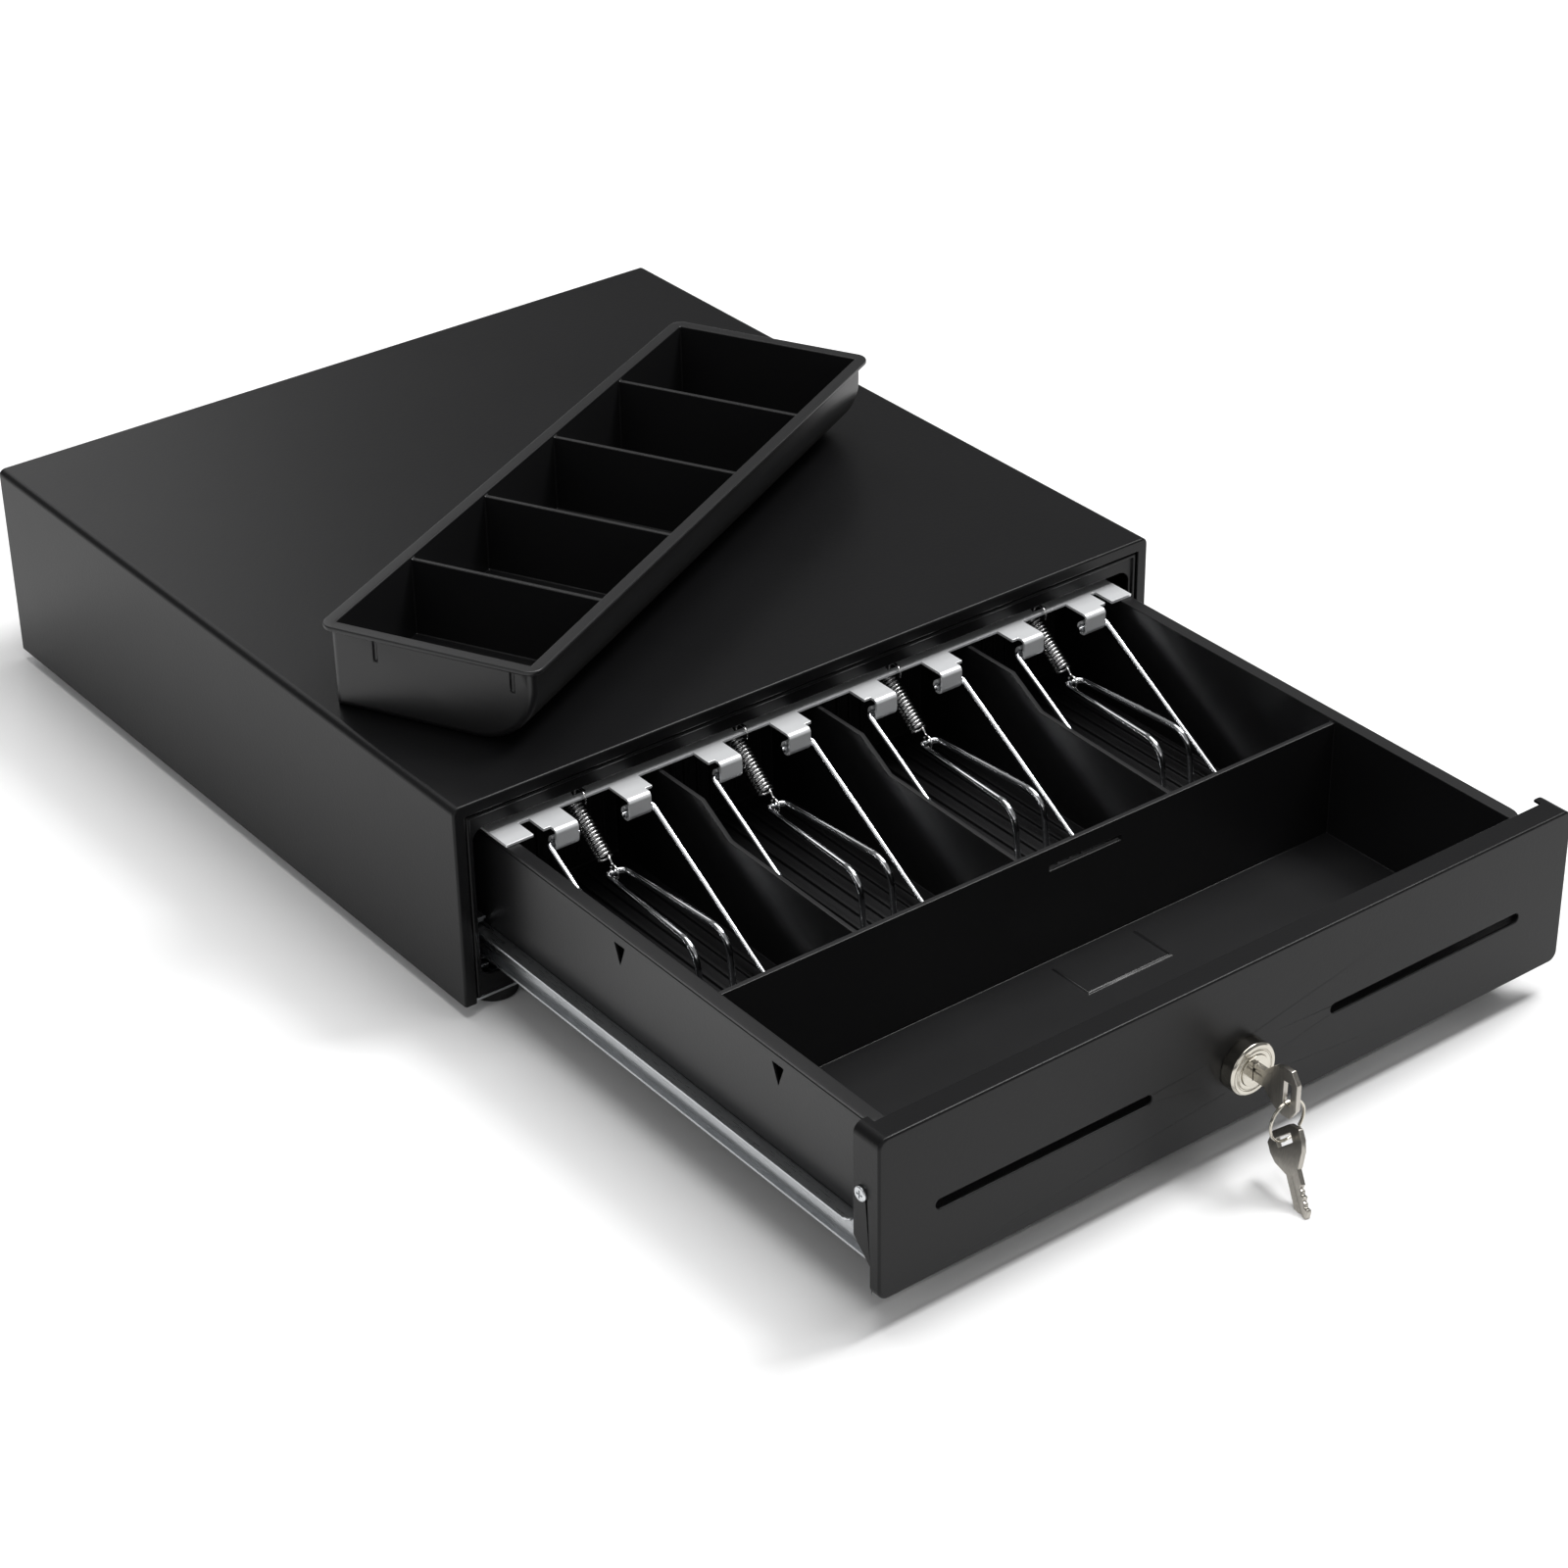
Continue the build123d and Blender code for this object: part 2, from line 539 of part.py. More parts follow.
def clip_spring(centre):
    """Tension spring from the rail's anchor hole to the clip's loop, drawn as a tube with two eyes."""
    start = Vector(centre, -162.0, 68.9)
    end = Vector(centre, APEX[0] + WIRE_R, APEX[1])
    way = (end - start).normalized()
    length = (end - start).length
    frame = Plane(origin=start, z_dir=way, x_dir=(1, 0, 0))
    coil_start, coil_end = 1.2, length - 5.0
    tube = Cylinder(SPRING_R, coil_end - coil_start, align=(Align.CENTER, Align.CENTER, Align.MIN))
    tube -= Cylinder(SPRING_R - 2 * SPRING_WIRE, coil_end - coil_start,
                     align=(Align.CENTER, Align.CENTER, Align.MIN))
    tube = frame * Pos(0, 0, coil_start) * tube
    for a, b in ((0.0, coil_start + 0.5), (coil_end - 0.5, length - 2.4)):
        leg = Cylinder(SPRING_WIRE, b - a, align=(Align.CENTER, Align.CENTER, Align.MIN))
        tube += frame * Pos(0, SPRING_R - SPRING_WIRE, a) * leg
    return tube


# ---------------------------------------------------------------- loose coin tray
def coin_tray():
    """Moulded tray with five coin cups, a flat rim and one long side swept up in a large radius."""
    length, width = TRAY_L - 2 * TRAY_RIM, TRAY_W - 2 * TRAY_RIM
    sweep_r = 26.0

    def tub(l, w, h, radius):
        solid = Box(l, w, h, align=(Align.CENTER, Align.CENTER, Align.MIN))
        low = solid.edges().filter_by(Axis.X).group_by(Axis.Z)[0].sort_by(Axis.Y)[0]
        solid = fillet(low, radius)
        return fillet(solid.edges().filter_by(Axis.Z), 3.0)

    tray = tub(length, width, TRAY_H, sweep_r)
    rim = Pos(0, 0, TRAY_H - 2.0) * Box(TRAY_L, TRAY_W, 2.0, align=(Align.CENTER, Align.CENTER, Align.MIN))
    tray += fillet(rim.edges().filter_by(Axis.Z), 5.5)
    cup_l = (length - TRAY_WALL * (COINS + 1)) / COINS
    cup_w = width - 2 * TRAY_WALL
    for k in range(COINS):
        x = (k - (COINS - 1) / 2) * (cup_l + TRAY_WALL)
        cup = Box(cup_l, cup_w, TRAY_H, align=(Align.CENTER, Align.CENTER, Align.MIN))
        low = cup.edges().filter_by(Axis.X).group_by(Axis.Z)[0].sort_by(Axis.Y)[0]
        cup = fillet(low, sweep_r - TRAY_WALL)
        tray -= Pos(x, 0, TRAY_WALL) * cup
    inner = length - 2 * TRAY_WALL
    tray -= Pos(0, 0, TRAY_H - 1.0) * Box(inner, cup_w, 1.0, align=(Align.CENTER, Align.CENTER, Align.MIN))
    for y in (TRAY_W / 2 - 22.0, TRAY_W / 2 - 79.0):
        tray -= Pos(-length / 2, y, TRAY_H - 7.5) * Box(1.6, 1.6, 9.0)
    return Pos(TRAY_POS[0], TRAY_POS[1], CASE_TOP) * Rot(0, 0, TRAY_TURN) * tray


# ---------------------------------------------------------------- lock and keys
BLADE_HALF = 3.6          # half height of the key's blade
BLADE_T = 2.0             # thickness of blade and bow
BLADE_IN = 11.5           # how far the blade goes into the plug
PLUG_FACE = PANEL_Y - COLLAR_H - 0.4


def lock_barrel():
    """Chromed collar and threaded barrel through the panel."""
    y_face = PANEL_Y - COLLAR_H
    collar = bar((0, y_face, LOCK_Z), "+Y", COLLAR_R, COLLAR_H)
    collar = chamfer(collar.edges().group_by(Axis.Y)[0], 0.8)
    groove = bar((0, y_face, LOCK_Z), "+Y", COLLAR_R - 2.1, 0.35)
    collar -= groove - bar((0, y_face - 1, LOCK_Z), "+Y", COLLAR_R - 2.7, 3.0)
    body = collar + bar((0, PANEL_Y, LOCK_Z), "+Y", BARREL_R, -388.6 - PANEL_Y)
    return body - bar((0, y_face - 1, LOCK_Z), "+Y", PLUG_R + RUN_FIT, 40.0)


def lock_nut():
    """Ring nut that clamps the barrel to the panel."""
    y0 = PANEL_Y + SHEET
    nut = Plane.XZ * Pos(0, LOCK_Z) * RegularPolygon(13.0, 6)
    nut = Pos(0, y0, 0) * extrude(nut, 3.4, dir=(0, 1, 0))
    return nut - bar((0, y0 - 1, LOCK_Z), "+Y", BARREL_R, 6.0)


def lock_plug():
    """Plug with its keyway."""
    plug = bar((0, PLUG_FACE, LOCK_Z), "+Y", PLUG_R, CAM_Y[0] - 0.6 - PLUG_FACE)
    plug += bar((0, PLUG_FACE, LOCK_Z), "+Y", 3.0, CAM_Y[1] + 1.2 - PLUG_FACE)
    slot = BLADE_T / 2 + 0.1
    return plug - block(-slot, slot, PLUG_FACE, PLUG_FACE + BLADE_IN + 1.0,
                        LOCK_Z - BLADE_HALF - 0.1, LOCK_Z + BLADE_HALF + 0.1)


def lock_cam():
    """Flat cam on the tail of the plug; a quarter turn swings it down behind the front frame."""
    cam = block(-5.0, 28.0, CAM_Y[0], CAM_Y[1], LOCK_Z - 5.0, LOCK_Z + 5.0)
    cam = fillet(cam.edges().filter_by(Axis.Y), 4.0)
    return cam - bar((0, CAM_Y[0] - 1, LOCK_Z), "+Y", 3.0, 6.0)


BOW_L = 15.5
BOW_W = 19.6
SHANK = 5.5
EYE_AT = 4.6              # middle of the bow's hole, from the bow's outer end
EYE_SIZE = (9.0, 3.4)
BLADE_L = BLADE_IN + SHANK


def flat_key():
    """Key lying in its own YZ plane: the blade points along +Y, the shoulder is at the origin."""
    half = [(0, 4.0), (-BOW_L * 0.32, BOW_W * 0.43), (-BOW_L * 0.56, BOW_W / 2), (-BOW_L * 0.81, BOW_W / 2),
            (-BOW_L, BOW_W * 0.27)]
    bow = half + [(y, -z) for y, z in reversed(half)]
    h = BLADE_HALF
    blade = [(0, h - 0.1), (BLADE_L - 3.0, h - 0.1), (BLADE_L, 1.0), (BLADE_L, -1.0), (BLADE_L - 2.0, -h + 0.5)]
    cuts = 4
    for k in range(cuts):
        y = BLADE_L - 3.0 - k * 2.2
        blade += [(y, -h + 0.2 + 0.7 * (k % 2)), (y - 1.1, -h + 1.5)]
    blade += [(SHANK, -h + 0.1), (0, -h + 0.1)]
    key = profile_x(bow, -BLADE_T / 2, BLADE_T / 2)
    key += profile_x(blade, -BLADE_T / 2, BLADE_T / 2)
    eye = -BOW_L + EYE_AT
    tall, wide = EYE_SIZE
    for s in (-1, 1):
        key -= block(s * 0.55, s * 2.0, 1.2, BLADE_L + 1.0, 0.2, 1.6)
    return key - block(-2, 2, eye - wide / 2, eye + wide / 2, -tall / 2, tall / 2)


KEY_SHOULDER = (0, PLUG_FACE - SHANK, LOCK_Z)
RING_R = 7.9              # mean radius of the split ring
RING_WIRE = 0.9
RING_TOP_Z = LOCK_Z - EYE_SIZE[0] / 2 + RING_WIRE + 0.15
RING_Y = PLUG_FACE - SHANK - BOW_L + EYE_AT
SPARE_TILT = (-45.5, -21.5, -15.6)  # lean from hanging straight down, about X, about Z, and about its own length


def key_ring():
    """Split ring through the bow of the key in the lock."""
    ring = Plane.XZ * Torus(RING_R, RING_WIRE)
    return Pos(0, RING_Y, RING_TOP_Z - RING_R) * ring


def spare_key():
    """Second key on the ring; its tip leans on the counter."""
    hang = (0, RING_Y, RING_TOP_Z - 2 * RING_R)
    key = Pos(0, BOW_L - EYE_AT + EYE_SIZE[1] / 2 - RING_WIRE - 0.4, 0) * flat_key()
    key = Rot(SPARE_TILT[0] - 90, 0, 0) * Rot(0, SPARE_TILT[2], 0) * key
    return Pos(*hang) * Rot(0, 0, SPARE_TILT[1]) * key


# ---------------------------------------------------------------- latch, solenoid, ejector and switch at the rear
STRIKE_Z = 28.0
PIVOT = (9.0, 142.0)      # latch pin, x and y
LEVER_Z = (31.0, 34.0)
RELEASE = 17.0            # degrees that the lever swings between latched and released
COIL_Y = 153.0
COIL_Z = 32.5


def striker():
    """Bracket and catch pin on the rear of the tub."""
    y = TUB_Y[1]
    plate = block(-9.0, 9.0, y, y + 1.5, STRIKE_Z - 7.0, STRIKE_Z + 1.5)
    plate += block(-9.0, 9.0, y, y + 13.5, STRIKE_Z, STRIKE_Z + 1.5)
    return plate + bar((0, y + 10.0, STRIKE_Z), "+Z", 2.5, 9.5)


def lever_shape():
    """Outline of the lever in its latched place."""
    x, y = PIVOT
    return [(x + 4, y - 32.6), (x + 4, y + 16), (x - 4, y + 16), (x - 4, y - 28.7),
            (x - 12, y - 28.7), (x - 12, y - 30.4), (x - 9, y - 32.6)]


def latch_lever():
    """Hooked lever, drawn released."""
    lever = profile_z(lever_shape(), *LEVER_Z)
    lever -= bar((*PIVOT, LEVER_Z[0] - 1), "+Z", 2.5 + RUN_FIT, 6.0)
    lever -= block(PIVOT[0] - 1.7, PIVOT[0] + 1.7, COIL_Y - 2.4, COIL_Y + 2.4, LEVER_Z[0] - 1, LEVER_Z[1] + 1)
    to_pin = Pos(PIVOT[0], PIVOT[1], 0)
    return to_pin * Rot(0, 0, RELEASE) * to_pin.inverse() * lever


def latch_bracket():
    """Steel shelf on the floor that carries the latch pin."""
    top = LEVER_Z[0] - 0.4
    floor = FOOT_H + SHEET
    shelf = block(-8.0, 30.0, 130.0, 149.0, top - 1.6, top)
    shelf += block(28.4, 30.0, 130.0, 149.0, floor, top)
    shelf += block(28.4, 44.0, 130.0, 149.0, floor, floor + 1.6)
    return shelf - bar((*PIVOT, top - 3), "+Z", 2.5, 6.0)


def latch_pin():
    """Shouldered pin that the lever turns on."""
    top = LEVER_Z[0] - 0.4
    pin = bar((*PIVOT, top - 1.6), "+Z", 2.5, 13.0)
    return pin + bar((*PIVOT, top + 11.4), "+Z", 4.2, 1.6)


def latch_spring():
    """Torsion spring round the latch pin, drawn as a sleeve."""
    z = LEVER_Z[1] + 0.5
    return bar((*PIVOT, z), "+Z", 4.4, 6.4) - bar((*PIVOT, z), "+Z", 2.8, 6.4)


def solenoid_frame():
    """Bent steel yoke round the coil, screwed to the floor."""
    floor = FOOT_H + SHEET
    frame = block(-56.0, -16.0, COIL_Y - 11, COIL_Y + 11, floor, floor + 2.0)
    for x in (-56.0, -18.0):
        frame += block(x, x + 2.0, COIL_Y - 11, COIL_Y + 11, floor, COIL_Z + 12)
    return frame - bar((-20.0, COIL_Y, COIL_Z), "+X", 4.6, 6.0)


def solenoid_coil():
    """Bobbin with its winding and end cheeks."""
    coil = bar((-53.9, COIL_Y, COIL_Z), "+X", 9.0, 35.8)
    coil += bar((-53.9, COIL_Y, COIL_Z), "+X", 10.5, 2.0) + bar((-20.1, COIL_Y, COIL_Z), "+X", 10.5, 2.0)
    return coil - bar((-50.0, COIL_Y, COIL_Z), "+X", 4.35, 60.0)


def solenoid_plunger():
    """Steel plunger drawn in, with a fork and peg for the lever's tail."""
    tail_x = PIVOT[0] - 11.0 * math.sin(math.radians(RELEASE))
    rod_end = tail_x - 7.0
    plunger = bar((-46.0, COIL_Y, COIL_Z), "+X", 4.2, rod_end + 46.0)
    for z0, z1 in ((LEVER_Z[0] - 2.0, LEVER_Z[0] - 0.4), (LEVER_Z[1] + 0.4, LEVER_Z[1] + 2.0)):
        plunger += block(rod_end - 2.0, tail_x + 2.5, COIL_Y - 3.0, COIL_Y + 3.0, z0, z1)
    return plunger + bar((tail_x, COIL_Y, LEVER_Z[0] - 2.0), "+Z", 1.3, 7.0)


EJECT_X = 78.0
EJECT_Z = 42.0
CLOSED_REAR = TUB_Y[1] + TRAVEL


def ejector_housing():
    """Tube that guides the ejector rod, on a foot screwed to the floor."""
    floor = FOOT_H + SHEET
    tube = bar((EJECT_X, 132.0, EJECT_Z), "+Y", 9.0, 36.0)
    tube += block(EJECT_X - 1.5, EJECT_X + 1.5, 134.0, 166.0, floor, EJECT_Z)
    tube += block(EJECT_X - 14, EJECT_X + 14, 134.0, 166.0, floor, floor + 2.0)
    tube -= bar((EJECT_X, 131.0, EJECT_Z), "+Y", 4.1, 4.0)
    return tube - bar((EJECT_X, 133.5, EJECT_Z), "+Y", 7.5, 32.5)


def ejector_rod():
    """Rod with a nylon button that pushes the drawer off its latch, drawn pushed back."""
    tip = CLOSED_REAR + 0.4
    rod = bar((EJECT_X, tip, EJECT_Z), "+Y", 7.0, 4.0)
    rod = fillet(rod.edges().group_by(Axis.Y)[0], 1.5)
    rod += bar((EJECT_X, tip + 4.0, EJECT_Z), "+Y", 4.0, 156.0 - tip - 4.0)
    return rod + bar((EJECT_X, 153.0, EJECT_Z), "+Y", 7.1, 3.0)


def ejector_spring():
    """Compression spring behind the rod's flange, drawn as a sleeve."""
    y0 = 156.1
    return bar((EJECT_X, y0, EJECT_Z), "+Y", 6.9, 9.8) - bar((EJECT_X, y0, EJECT_Z), "+Y", 5.4, 9.8)


SWITCH_X = -84.0
SWITCH_Z = 40.0


def door_switch():
    """Micro switch on a bracket; it tells the till that the drawer is open."""
    floor = FOOT_H + SHEET
    body = block(SWITCH_X - 10, SWITCH_X + 10, 118.0, 128.0, SWITCH_Z - 3, SWITCH_Z + 3)
    body += block(SWITCH_X - 10, SWITCH_X + 10, 128.0, 129.6, floor, SWITCH_Z + 3)
    return body + block(SWITCH_X - 10, SWITCH_X + 10, 128.0, 144.0, floor, floor + 1.6)


def switch_lever():
    """Spring-steel lever of the switch, with the roller that the tub presses."""
    x0 = SWITCH_X - 9.0
    arm = block(x0, SWITCH_X + 12, 115.6, 116.2, SWITCH_Z - 2, SWITCH_Z + 2)
    arm = Pos(x0, 115.9, 0) * Rot(0, 0, -14.0) * Pos(-x0, -115.9, 0) * arm
    roller_x = SWITCH_X + 10.5
    roller = bar((roller_x, CLOSED_REAR + 2.8, SWITCH_Z - 2.5), "+Z", 2.6, 5.0)
    return arm + roller + bar((x0, 115.9, SWITCH_Z - 3), "+Z", 0.9, 6.0)


# ---------------------------------------------------------------- writing the nodes
PIECES = {
    "top_cover": top_cover,
    "front_frame": front_frame,
    "base_plate": base_plate,
    "back_panel": back_panel,
    "rubber_feet": rubber_feet,
    "foot_screws": foot_screws,
    "case_screws": case_screws,
    "cable_socket": cable_socket,
    "drawer_tub": drawer_tub,
    "front_panel": front_panel,
    "panel_screws": panel_screws,
    "till_insert": till_insert,
    "clip_rail": clip_rail,
    "coin_tray": coin_tray,
    "lock_barrel": lock_barrel,
    "lock_nut": lock_nut,
    "lock_plug": lock_plug,
    "lock_cam": lock_cam,
    "key_ring": key_ring,
    "spare_key": spare_key,
    "striker": striker,
    "latch_bracket": latch_bracket,
    "latch_lever": latch_lever,
    "latch_pin": latch_pin,
    "latch_spring": latch_spring,
    "solenoid_frame": solenoid_frame,
    "solenoid_coil": solenoid_coil,
    "solenoid_plunger": solenoid_plunger,
    "ejector_housing": ejector_housing,
    "ejector_rod": ejector_rod,
    "ejector_spring": ejector_spring,
    "door_switch": door_switch,
    "switch_lever": switch_lever,
}

for name, make in PIECES.items():
    save(make(), name)

save(Pos(*KEY_SHOULDER) * flat_key(), "key")

for part_name, make in {"slide_outer": slide_outer, "slide_inner": slide_inner,
                        "slide_cage": slide_cage, "slide_balls": slide_balls}.items():
    left = make()
    save(left, part_name + "_left")
    save(mirrored(left), part_name + "_right")

for number, middle in enumerate(clip_centres(), start=1):
    save(bill_clip(middle), "bill_clip_" + str(number))
    save(clip_spring(middle), "clip_spring_" + str(number))
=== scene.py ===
# A counter-top cash drawer, pulled open, with its loose coin tray lying on the casing.
import json
import math

import bpy
from mathutils import Matrix, Vector


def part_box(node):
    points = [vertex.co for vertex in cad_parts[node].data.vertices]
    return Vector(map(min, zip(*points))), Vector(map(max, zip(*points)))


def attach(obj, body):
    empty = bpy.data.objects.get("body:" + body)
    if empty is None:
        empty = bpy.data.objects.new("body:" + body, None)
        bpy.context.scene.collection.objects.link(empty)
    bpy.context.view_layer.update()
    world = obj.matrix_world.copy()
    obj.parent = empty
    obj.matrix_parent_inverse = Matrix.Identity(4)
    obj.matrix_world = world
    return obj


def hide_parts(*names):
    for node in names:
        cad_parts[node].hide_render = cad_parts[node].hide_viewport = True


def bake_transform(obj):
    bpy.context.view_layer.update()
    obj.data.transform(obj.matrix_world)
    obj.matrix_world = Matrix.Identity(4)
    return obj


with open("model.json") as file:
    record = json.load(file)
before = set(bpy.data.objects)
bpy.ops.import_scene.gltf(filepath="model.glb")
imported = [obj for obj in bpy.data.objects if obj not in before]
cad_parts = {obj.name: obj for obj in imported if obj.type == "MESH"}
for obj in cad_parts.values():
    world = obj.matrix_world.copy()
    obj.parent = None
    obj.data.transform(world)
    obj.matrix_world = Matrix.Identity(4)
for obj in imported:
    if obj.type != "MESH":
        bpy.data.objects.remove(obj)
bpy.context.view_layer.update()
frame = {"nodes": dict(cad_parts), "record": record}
nodes = frame["nodes"]


# ---- Casing: lid and sides, front frame, rear wall ----
# The cover is one sheet of 1.2 mm steel, bent over the top and down both sides. The front frame is pressed
# with a raised bead and sits behind the cover's folded lip; the rear wall is held by four screws.
# All three are sprayed with a black polyester powder that bakes to a fine satin skin.
MM = 0.001


def linear(code):
    """An sRGB hex colour as the shader's linear numbers."""
    parts = [int(code[i:i + 2], 16) / 255 for i in (1, 3, 5)]
    return tuple(p / 12.92 if p < 0.04045 else ((p + 0.055) / 1.055) ** 2.4 for p in parts) + (1.0,)


def add(mat, kind, links=(), **settings):
    """One node with its settings, and its inputs linked from (input, node, output)."""
    node = mat.node_tree.nodes.new("ShaderNode" + kind)
    for name, value in settings.items():
        if name in node.bl_rna.properties:
            setattr(node, name, value)
        else:
            node.inputs[name.replace("_", " ")].default_value = value
    for socket, source, output in links:
        mat.node_tree.links.new(source.outputs[output], node.inputs[socket])
    return node


def start(name):
    """An empty node material with its object coordinates."""
    mat = bpy.data.materials.new(name)
    mat.use_nodes = True
    mat.node_tree.nodes.clear()
    return mat, add(mat, "TexCoord")


def finish_with(mat, shader):
    """Link the shader to the material's output."""
    add(mat, "OutputMaterial", [("Surface", shader, 0)])
    return mat


def dress(mat, *names):
    """Give CAD nodes their material."""
    for name in names:
        slots = nodes[name].data.materials
        slots.clear()
        slots.append(mat)


bodies = {n: b for b, members in frame["record"]["behaviour"]["bodies"].items() for n in members}


def only(piece):
    """Select one piece alone and make it active."""
    bpy.ops.object.select_all(action="DESELECT")
    piece.select_set(True)
    bpy.context.view_layer.objects.active = piece


def modify(piece, kind, **settings):
    """Add one modifier and apply it."""
    only(piece)
    step = piece.modifiers.new(kind.title(), kind)
    for name, value in settings.items():
        setattr(step, name, value)
    bpy.ops.object.modifier_apply(modifier=step.name)


def stand_for(piece, mat, name, angle):
    """Finish a piece that stands for one CAD node: smooth, coat and hide the node."""
    only(piece)
    bpy.ops.object.shade_smooth_by_angle(angle=math.radians(angle))
    modify(piece, "WEIGHTED_NORMAL", mode="FACE_AREA", weight=100, keep_sharp=True)
    piece.data.materials.clear()
    piece.data.materials.append(mat)
    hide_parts(name)


def fit_in(piece, mat, name, angle=32):
    """Finish a piece and let it ride on its node's body."""
    stand_for(piece, mat, name, angle)
    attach(piece, bodies[name])
    return piece


def eased(name, mat, width_mm, rounds=2, angle=32):
    """A copy of a CAD node with its sharp edges broken, as deburring, bending or coating leaves them."""
    piece = bpy.data.objects.new(name + "_eased", nodes[name].data.copy())
    bpy.context.collection.objects.link(piece)
    modify(piece, "WELD", merge_threshold=0.000002)
    if width_mm:
        modify(piece, "BEVEL", width=width_mm * MM, segments=rounds, limit_method="ANGLE",
               angle_limit=math.radians(32), use_clamp_overlap=False)
    return fit_in(piece, mat, name, angle)


def powder_coat(name, body, sheen, rough, gloss_level, peel_mm=1.6, grit=0.5):
    """Black polyester powder over steel: an even satin with a faint orange peel and a fine grit."""
    mat, place = start(name)
    cloud = add(mat, "TexNoise", [("Vector", place, "Object")], Scale=9.0, Detail=4.0, Roughness=0.6)
    tone = add(mat, "MixRGB", [("Fac", cloud, 0)], Color1=linear(body), Color2=linear(sheen))
    gloss = add(mat, "MapRange", [("Value", cloud, 0)], **{"To Min": rough - 0.03, "To Max": rough + 0.04})
    peel = add(mat, "TexNoise", [("Vector", place, "Object")], Scale=1 / (peel_mm * MM), Detail=2.0)
    grain = add(mat, "TexNoise", [("Vector", place, "Object")], Scale=1 / (0.45 * MM), Detail=1.0)
    both = add(mat, "MixRGB", [("Color1", peel, 0), ("Color2", grain, 0)], Fac=0.5)
    skin = add(mat, "Bump", [("Height", both, 0)], Strength=grit, Distance=0.1 * MM)
    return finish_with(mat, add(mat, "BsdfPrincipled", [
        ("Base Color", tone, 0), ("Roughness", gloss, 0), ("Normal", skin, 0)], Specular_IOR_Level=gloss_level))


casing_coat = powder_coat("black_polyester_powder", "#0c0c0d", "#111112", 0.34, 0.2)
for sheet in ("top_cover", "front_frame", "back_panel"):
    eased(sheet, casing_coat, 0.42, 3)
drawer_coat = powder_coat("black_polyester_powder_smooth", "#101011", "#151516", 0.36, 0.44)
eased("drawer_tub", drawer_coat, 0.35)
eased("front_panel", casing_coat, 0.42, 3)


# ---- Bright zinc-plated steel: slides, clip rail, floor, latch parts ----
# The slide members, the clip rail with its curled hooks and the casing's floor are roll-formed or pressed
# strip. The striker and latch parts are small pressings, screwed or riveted on. All are left bare over the
# plating.
def zinc_plate(name, body, shade, rough, along, metal=1.0):
    """Bright zinc over cold-rolled strip: grey-white metal with fine rolling lines one way."""
    mat, place = start(name)
    squeeze = [6.0, 6.0, 6.0]
    squeeze[along] = 0.25
    grain_at = add(mat, "Mapping", [("Vector", place, "Object")], Scale=squeeze)
    lines = add(mat, "TexNoise", [("Vector", grain_at, 0)], Scale=1 / (2.4 * MM), Detail=3.0)
    cloud = add(mat, "TexNoise", [("Vector", place, "Object")], Scale=60.0, Detail=3.0)
    tone = add(mat, "MixRGB", [("Fac", cloud, 0)], Color1=linear(body), Color2=linear(shade))
    gloss = add(mat, "MapRange", [("Value", lines, 0)], **{"To Min": rough - 0.06, "To Max": rough + 0.08})
    skin = add(mat, "Bump", [("Height", lines, 0)], Strength=0.25, Distance=0.05 * MM)
    return finish_with(mat, add(mat, "BsdfPrincipled", [
        ("Base Color", tone, 0), ("Roughness", gloss, 0), ("Normal", skin, 0)], Metallic=metal))


zinc = zinc_plate("bright_zinc_plate", "#d6d8da", "#bfc2c5", 0.28, 1)
zinc_cross = zinc_plate("bright_zinc_strip", "#d6d8da", "#bfc2c5", 0.3, 0)
zinc_rail = zinc_plate("dull_zinc_rail", "#f2f3f4", "#e2e4e6", 0.34, 0, 0.45)
for side in ("left", "right"):
    eased("slide_outer_" + side, zinc, 0.2)
    eased("slide_inner_" + side, zinc, 0.2)
    dress(zinc, "slide_cage_" + side)
eased("base_plate", zinc_cross, 0.2)
eased("clip_rail", zinc_rail, 0.2)
for fixing in ("panel_screws", "foot_screws", "lock_nut", "lock_cam"):
    eased(fixing, zinc, 0.12)
for rear in ("striker", "latch_bracket", "latch_lever", "solenoid_frame", "ejector_housing"):
    eased(rear, zinc_cross, 0.12)
dress(zinc_cross, "latch_pin", "solenoid_plunger", "switch_lever")


# ---- Rear screws and solenoid winding ----
# The four screws through the rear wall are blackened so that they don't show on the coat. The solenoid is a
# bobbin of enamelled copper wire in a folded zinc yoke; the turns lie side by side, each about 0.6 mm.
black_oxide = zinc_plate("black_oxide_steel", "#1b1a1a", "#252424", 0.42, 2, 0.8)
eased("case_screws", black_oxide, 0.12)


def wound_copper(name, body, shade, turn_mm):
    """Enamelled copper wire in close turns: warm brown, with painted shade between the turns and a painted
    highlight on each turn.
    """
    mat, place = start(name)
    turns = add(mat, "TexWave", [("Vector", place, "Object")], bands_direction="X", wave_profile="SIN",
                Scale=0.314 / (turn_mm * MM), Distortion=0.3)
    # tone: the darker colour is painted shade in the grooves between turns, the lighter one a painted highlight
    # on each turn
    tone = add(mat, "MixRGB", [("Fac", turns, 1)], Color1=linear(shade), Color2=linear(body))
    round_wire = add(mat, "Bump", [("Height", turns, 1)], Strength=0.9, Distance=0.3 * MM)
    return finish_with(mat, add(mat, "BsdfPrincipled", [("Base Color", tone, 0), ("Normal", round_wire, 0)],
                                Metallic=0.6, Roughness=0.32))


# the second, darker brown is painted shade between the turns of the winding
dress(wound_copper("enamelled_copper_winding", "#a8602f", "#5e2f16", 0.6), "solenoid_coil")


